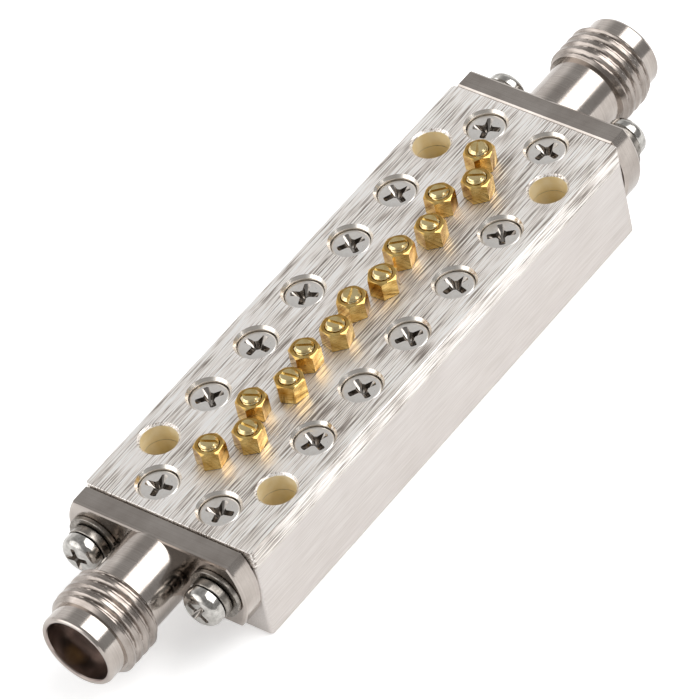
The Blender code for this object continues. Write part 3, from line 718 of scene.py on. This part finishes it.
for number, (end, side) in enumerate(flange_screw_places, 1):
    spin = Matrix.Rotation(math.radians(50 * number), 4, "Z")
    at_flat, at_spring, at_head = (
        jack_axis(end) @ Matrix.Translation((0, side, seat)) for seat in (flat_seat, spring_seat, head_seat)
    )
    flat = placed(f"washer_{number}", flat_washer_mesh, at_flat)
    finished(flat, (washer_steel,), "housing", "washer_steel", f"flat_washer_{number}")
    spring = placed(f"split_washer_{number}", spring_washer_mesh, at_spring @ spin)
    finished(spring, (washer_steel,), "housing", "washer_steel", f"spring_washer_{number}")
    screw = placed(f"jack_screw_{number}", flange_screw_mesh, at_head @ spin)
    finished(screw, (screw_steel, recess_steel), "housing", "screw_steel", f"flange_screw_{number}")

# Lid
# A flat plate of silver-plated aluminium closes the cavities. Its top was brushed along its length before
# fourteen counterbores for its screws and thirteen tapped holes for the tuning screws were cut.
COUNTERBORE, COUNTERBORE_DEPTH = 1.34 * MM, 0.98 * MM
COUNTERSINK, COUNTERSINK_DEPTH = 1.5 * MM, 0.2 * MM
TUNER_HOLE = 0.7 * MM
CAVITY_TUNERS_IN_MM = (
    (-14.5, 0.26),
    (-10.1, 0.26),
    (-5.05, -0.16),
    (0, -0.16),
    (5.05, -0.16),
    (10.1, 0.26),
    (14.5, 0.26),
)
CAVITY_TUNERS = [(x * MM, y * MM) for x, y in CAVITY_TUNERS_IN_MM]
counterbore = turned(
    "counterbore",
    (
        (LID_SCREW_HOLE, HEIGHT - LID_THICKNESS - OVERCUT),
        (LID_SCREW_HOLE, HEIGHT - COUNTERBORE_DEPTH),
        (COUNTERBORE, HEIGHT - COUNTERBORE_DEPTH),
        (COUNTERBORE, HEIGHT - COUNTERSINK_DEPTH),
        (COUNTERSINK, HEIGHT),
        (COUNTERSINK + 0.4 * MM, HEIGHT + OVERCUT),
    ),
    72,
)
for face in counterbore.polygons:
    face.material_index = 2
tuner_hole = turned(
    "tuner_hole", ((TUNER_HOLE, HEIGHT - LID_THICKNESS - OVERCUT), (TUNER_HOLE, HEIGHT + OVERCUT)), 40
)
lid_cuts = [(counterbore, at(place)) for place in LID_SCREW_PLACES]
lid_cuts += [(through_cutter(), at(place)) for place in THROUGH_PLACES]
lid_cuts += [(tuner_hole, at(place)) for place in CAVITY_TUNERS + IRIS_TUNERS]
lid_mesh = carved(
    slab("lid", HEIGHT - LID_THICKNESS, HEIGHT, SEAM_EDGE, OUTER_EDGE),
    ("DIFFERENCE", gathered("lid_cuts", lid_cuts)),
)
lid = placed("lid_plate", smooth(lid_mesh))
# The lid's streaks run from dark grey to near white. The brush lines are real, and their dark and bright
# tones are also painted dark and bright glints.
lid_silver = brushed_silver(
    "brushed_silver_plate_top",
    streak_gap=0.1 * MM,
    strength=0.9,
    stops=((0.0, "#887f78"), (0.3, "#d3cbc4"), (0.6, "#f6f1ec"), (1.0, "#fffefc")),
    roughness=(0.44, 0.58),
)
milled_silver = tool_cut_metal("milled_silver_plate", "#d8d0c6", "#efeae3", (0.16, 0.26))
finished(lid, (lid_silver, bore_coat, milled_silver), "housing", "silver_plated_lid", "lid")

# Lid screws
# Fourteen short nickel-plated steel screws with flat heads sit just below the lid's top face. Their cross
# recesses are struck when the heads are formed and drawn in a darker steel as painted shade, and each screw
# was left at its own turn, here in degrees.
LID_SCREW_SEAT = HEIGHT - COUNTERBORE_DEPTH + SEAT_GAP
FLAT_HEAD_HEIGHT = 0.65 * MM
flat_head = [(0.7, -3.02), (0.7, 0), (1.24, 0), (1.3, 0.06), (1.3, 0.5)]
flat_head += [(1.29, 0.56), (1.25, 0.61), (1.19, 0.64), (1.12, FLAT_HEAD_HEIGHT / MM)]
lid_screw_mesh = smooth(
    carved(
        turned("lid_screw", [(radius * MM, height * MM) for radius, height in flat_head], 72),
        ("DIFFERENCE", cross_recess(FLAT_HEAD_HEIGHT, span=1.88 * MM, arm=0.42 * MM, depth=0.5 * MM)),
    )
)
nickel = plain_steel("nickel_plated_steel", "#e2ddd7", "#f4f1ed", (0.26, 0.4))
LID_SCREW_TURNS = (14, 11, -20, -36, -28, -2, -33, 23, -14, -31, 40, -26, -10, 18)
for index, (place, angle) in enumerate(zip(LID_SCREW_PLACES, LID_SCREW_TURNS)):
    spin = Matrix.Rotation(math.radians(angle), 4, "Z")
    screw = placed(f"plate_screw_{index + 1:02d}", lid_screw_mesh, at(place, LID_SCREW_SEAT) @ spin)
    finished(screw, (nickel, recess_steel), "housing", "screw_steel", f"lid_screw_{index + 1:02d}")

# Tuning screws
# Slotted grub screws turned from brass. Seven stand over the cavities and six over the openings between
# them, and their ends show as small bright rings above the nuts. The turn of each is in degrees.
NUT_HEIGHT, ABOVE_NUT = 1.38 * MM, 0.26 * MM
TUNER_TOP = SEAT_GAP + NUT_HEIGHT + ABOVE_NUT
TUNER_RADIUS, TUNER_THREAD_DEPTH, TUNER_PITCH = 0.65 * MM, 0.07 * MM, 0.3 * MM
TUNER_SLOT_WIDTH, TUNER_SLOT_DEPTH = 0.2 * MM, 0.22 * MM


def tuner_mesh(name, reach):
    """A slotted grub screw whose top is TUNER_TOP above the lid. Its end is below the lid by reach."""
    bottom = -LID_THICKNESS - reach
    start, stop, chamfer = bottom + 0.1 * MM, TUNER_TOP - 0.1 * MM, 0.09 * MM
    rings = [circle(0.51 * MM, bottom, 48)]
    rings += threaded_rings(TUNER_RADIUS, TUNER_THREAD_DEPTH, TUNER_PITCH, start, stop, chamfer, 48, 8)
    rings += [circle(0.56 * MM, TUNER_TOP - 0.08 * MM, 48), circle(0.49 * MM, TUNER_TOP, 48)]
    across, along = TUNER_SLOT_WIDTH / 2, 2 * TUNER_RADIUS
    corners = [(-along, -across), (along, -across), (along, across), (-along, across)]
    heights = (TUNER_TOP - TUNER_SLOT_DEPTH, TUNER_TOP + OVERCUT)
    slot = stacked("slot", [[(x, y, height) for x, y in corners] for height in heights])
    return smooth(carved(stacked(name, rings), ("DIFFERENCE", slot)))


def turned_brass(name, dark, light, roughness):
    """Free-cutting brass straight from the tool: warm yellow, with marks 0.07 mm apart and stains 1 mm wide.

    The marks are drawn coarser than real ones, which are too fine to show in the render.
    """
    made, tree, shader = new_material(name)
    spot = add(tree, "ShaderNodeTexCoord").outputs["Object"]
    stretched = add(
        tree, "ShaderNodeVectorMath", {"operation": "MULTIPLY"},
        in0=spot, in1=(2 / MM, 2 / MM, 14 / MM),
    )
    marks = add(tree, "ShaderNodeTexNoise", Vector=stretched.outputs[0], Scale=1.0, Detail=3.0).outputs["Fac"]
    stain = add(tree, "ShaderNodeTexNoise", Vector=spot, Scale=1.1 / MM, Detail=3.0).outputs["Fac"]
    weighed = {"operation": "MULTIPLY_ADD"}
    tone = add(tree, "ShaderNodeMath", weighed, in0=marks, in1=0.5, in2=stain).outputs[0]
    level = spread(tree, tone, 0.0, 1.0, 0.5, 1.0)
    tree.links.new(blend(tree, ((0.0, dark), (1.0, light)), level), shader.inputs["Base Color"])
    shader.inputs["Metallic"].default_value = 1.0
    tree.links.new(spread(tree, level, roughness[1], roughness[0]), shader.inputs["Roughness"])
    bump = add(tree, "ShaderNodeBump", Strength=0.2, Distance=0.02 * MM, Height=marks)
    tree.links.new(bump.outputs[0], shader.inputs["Normal"])
    return made


tuner_brass = turned_brass("turned_brass", "#cdb070", "#f6e7b8", (0.14, 0.26))
rows = (
    ("cavity", CAVITY_TUNERS, 1.2 * MM, (-65, -65, -60, 20, -50, -45, 30)),
    ("iris", IRIS_TUNERS, 0.8 * MM, (-90, -81, -83, -80, -82, -60)),
)
for row, places, reach, angles in rows:
    mesh = tuner_mesh(f"{row}_tuning_screw", reach)
    for index, (place, angle) in enumerate(zip(places, angles)):
        spin = Matrix.Rotation(math.radians(angle), 4, "Z")
        screw = placed(f"{row}_tuning_screw_{index + 1}", mesh, at(place, HEIGHT) @ spin)
        body = f"{row}_tuner_body_{index + 1}"
        finished(screw, (tuner_brass,), body, "tuner_brass", f"{row}_tuner_{index + 1}")

# Lock nuts
# A small hexagon brass nut on each tuning screw locks it. The nuts are milled from bar, with chamfered
# corners, and are tightened down on the lid at any angle.
NUT_FLAT, NUT_CHAMFER, NUT_BORE = 0.92 * MM, 0.12 * MM, 0.68 * MM
NUT_CORNER = NUT_FLAT / math.cos(math.pi / 6)
nut_turning = turned(
    "nut_turning",
    (
        (NUT_CORNER + 0.02 * MM, 0.0),
        (NUT_CORNER + 0.02 * MM, NUT_HEIGHT - NUT_CHAMFER),
        (NUT_FLAT * 0.97, NUT_HEIGHT),
    ),
    96,
)
nut_bore = turned(
    "nut_bore",
    (
        (NUT_BORE, -0.1 * MM),
        (NUT_BORE, NUT_HEIGHT - 0.03 * MM),
        (NUT_BORE + 0.12 * MM, NUT_HEIGHT + 0.1 * MM),
    ),
    64,
)
nut_mesh = smooth(
    carved(
        stacked("lock_nut", [circle(NUT_CORNER, height, 6) for height in (-0.1 * MM, NUT_HEIGHT + 0.1 * MM)]),
        ("INTERSECT", nut_turning),
        ("DIFFERENCE", nut_bore),
    ),
    sharp_above=20,
)
nut_brass = turned_brass("milled_brass", "#a87622", "#f2d389", (0.1, 0.2))
for row, places, angles in (
    ("cavity", CAVITY_TUNERS, (9, 16, 5, 27, 15, 19, 18)),
    ("iris", IRIS_TUNERS, (9, 51, 15, 33, 14, 14)),
):
    for index, (place, angle) in enumerate(zip(places, angles)):
        spin = Matrix.Rotation(math.radians(angle), 4, "Z")
        nut = placed(f"{row}_nut_{index + 1}", nut_mesh, at(place, HEIGHT + SEAT_GAP) @ spin)
        finished(nut, (nut_brass,), "housing", "nut_brass", f"{row}_lock_nut_{index + 1}")

# Table, light and camera
# The filter lies on a white table under one large soft light. A grey room stands around it, with a white
# backdrop behind the filter and a bright panel at the side, which the metal reflects.


def white_table():
    """Matt white board with a grain of 1 mm: white to the camera, pale in the metal, dark in the shadow."""
    made, tree, shader = new_material("matt_white_board")
    spot = add(tree, "ShaderNodeTexCoord").outputs["Object"]
    grain = add(tree, "ShaderNodeTexNoise", Vector=spot, Scale=0.9 / MM, Detail=2.0).outputs["Fac"]
    tree.links.new(blend(tree, ((0.3, "#f4f4f4"), (0.7, "#f8f8f8")), grain), shader.inputs["Base Color"])
    shader.inputs["Roughness"].default_value = 0.9
    shader.inputs["Specular IOR Level"].default_value = 0.0
    seen = add(tree, "ShaderNodeLightPath")
    mirrored = add(
        tree, "ShaderNodeMath", {"operation": "ADD"},
        in0=seen.outputs["Is Glossy Ray"], in1=seen.outputs["Is Transmission Ray"],
    )
    shown = add(
        tree, "ShaderNodeMath", {"operation": "MULTIPLY_ADD"},
        in0=mirrored.outputs[0], in1=0.5, in2=seen.outputs["Is Camera Ray"],
    )
    glow = add(tree, "ShaderNodeMath", {"operation": "MULTIPLY"}, in0=shown.outputs[0], in1=0.42)
    shader.inputs["Emission Color"].default_value = (1, 1, 1, 1)
    tree.links.new(glow.outputs[0], shader.inputs["Emission Strength"])
    return made


board_corners = ((-1.5, -1.5), (1.5, -1.5), (1.5, 1.5), (-1.5, 1.5))
table = placed("table", mesh_of("table", [(x, y, -0.1 * MM) for x, y in board_corners], [[0, 1, 2, 3]]))
table.data.materials.append(white_table())

room = bpy.data.worlds.new("studio_room")
bpy.context.scene.world = room
room.use_nodes = True
tree = room.node_tree
tree.nodes.clear()
seen = add(tree, "ShaderNodeLightPath")
# The backdrop is white up to 26 degrees above the table, and has faded into the grey room at 43 degrees.
way = add(tree, "ShaderNodeTexCoord").outputs["Generated"]
parts = add(tree, "ShaderNodeSeparateXYZ", Vector=way)
low = spread(tree, parts.outputs["Z"], 1.0, 0.14, 0.44, 0.68)
behind = spread(tree, parts.outputs["Y"], 0.0, 1.0, -0.3, 0.2)
pale_wall = add(tree, "ShaderNodeMath", {"operation": "MULTIPLY"}, in0=low, in1=behind).outputs[0]
walls = spread(tree, pale_wall, 0.36, 1.0)
panel_way = (-0.71, 0.51, 0.48)
facing = add(tree, "ShaderNodeVectorMath", {"operation": "DOT_PRODUCT"}, in0=way, in1=panel_way)
panel = spread(tree, facing.outputs["Value"], 0.0, 1.3, 0.84, 0.92)
lit_room = add(tree, "ShaderNodeMath", {"operation": "ADD"}, in0=walls, in1=panel).outputs[0]
grey_room = add(tree, "ShaderNodeBackground", Color=(1, 1, 1, 1), Strength=lit_room)
backdrop = add(tree, "ShaderNodeBackground", Color=(1, 1, 1, 1), Strength=1.0)
shown = add(
    tree, "ShaderNodeMath", {"operation": "ADD"},
    in0=seen.outputs["Is Camera Ray"], in1=seen.outputs["Is Transmission Ray"],
)
mixed = add(
    tree, "ShaderNodeMixShader",
    Fac=shown.outputs[0], in1=grey_room.outputs[0], in2=backdrop.outputs[0],
)
add(tree, "ShaderNodeOutputWorld", Surface=mixed.outputs[0])


def soft_light(name, place, aim, width, height, power):
    data = bpy.data.lights.new(name, "AREA")
    data.shape = "RECTANGLE"
    data.size, data.size_y, data.energy = width, height, power
    made = placed(name, data)
    direction = Vector(aim) - Vector(place)
    made.matrix_world = Matrix.Translation(place) @ direction.to_track_quat("-Z", "Y").to_matrix().to_4x4()
    return made


soft_light("key_softbox", place=(0.30, -0.36, 0.62), aim=(0, 0, 0), width=0.75, height=0.6, power=4.8)

# A long lens from far off and high up keeps the filter's long edges nearly parallel.
camera_data = bpy.data.cameras.new("camera")
camera_data.sensor_width = 36
camera_data.lens = 340.03
camera_data.clip_start = 0.05
camera_data.clip_end = 10
camera = placed("camera", camera_data)
camera.location = (-0.208296, -0.214837, 0.297010)
camera.rotation_euler = [math.radians(turn) for turn in (44.7876, 9.7415, -53.6417)]
bpy.context.scene.camera = camera

bpy.context.scene.view_settings.view_transform = "Standard"
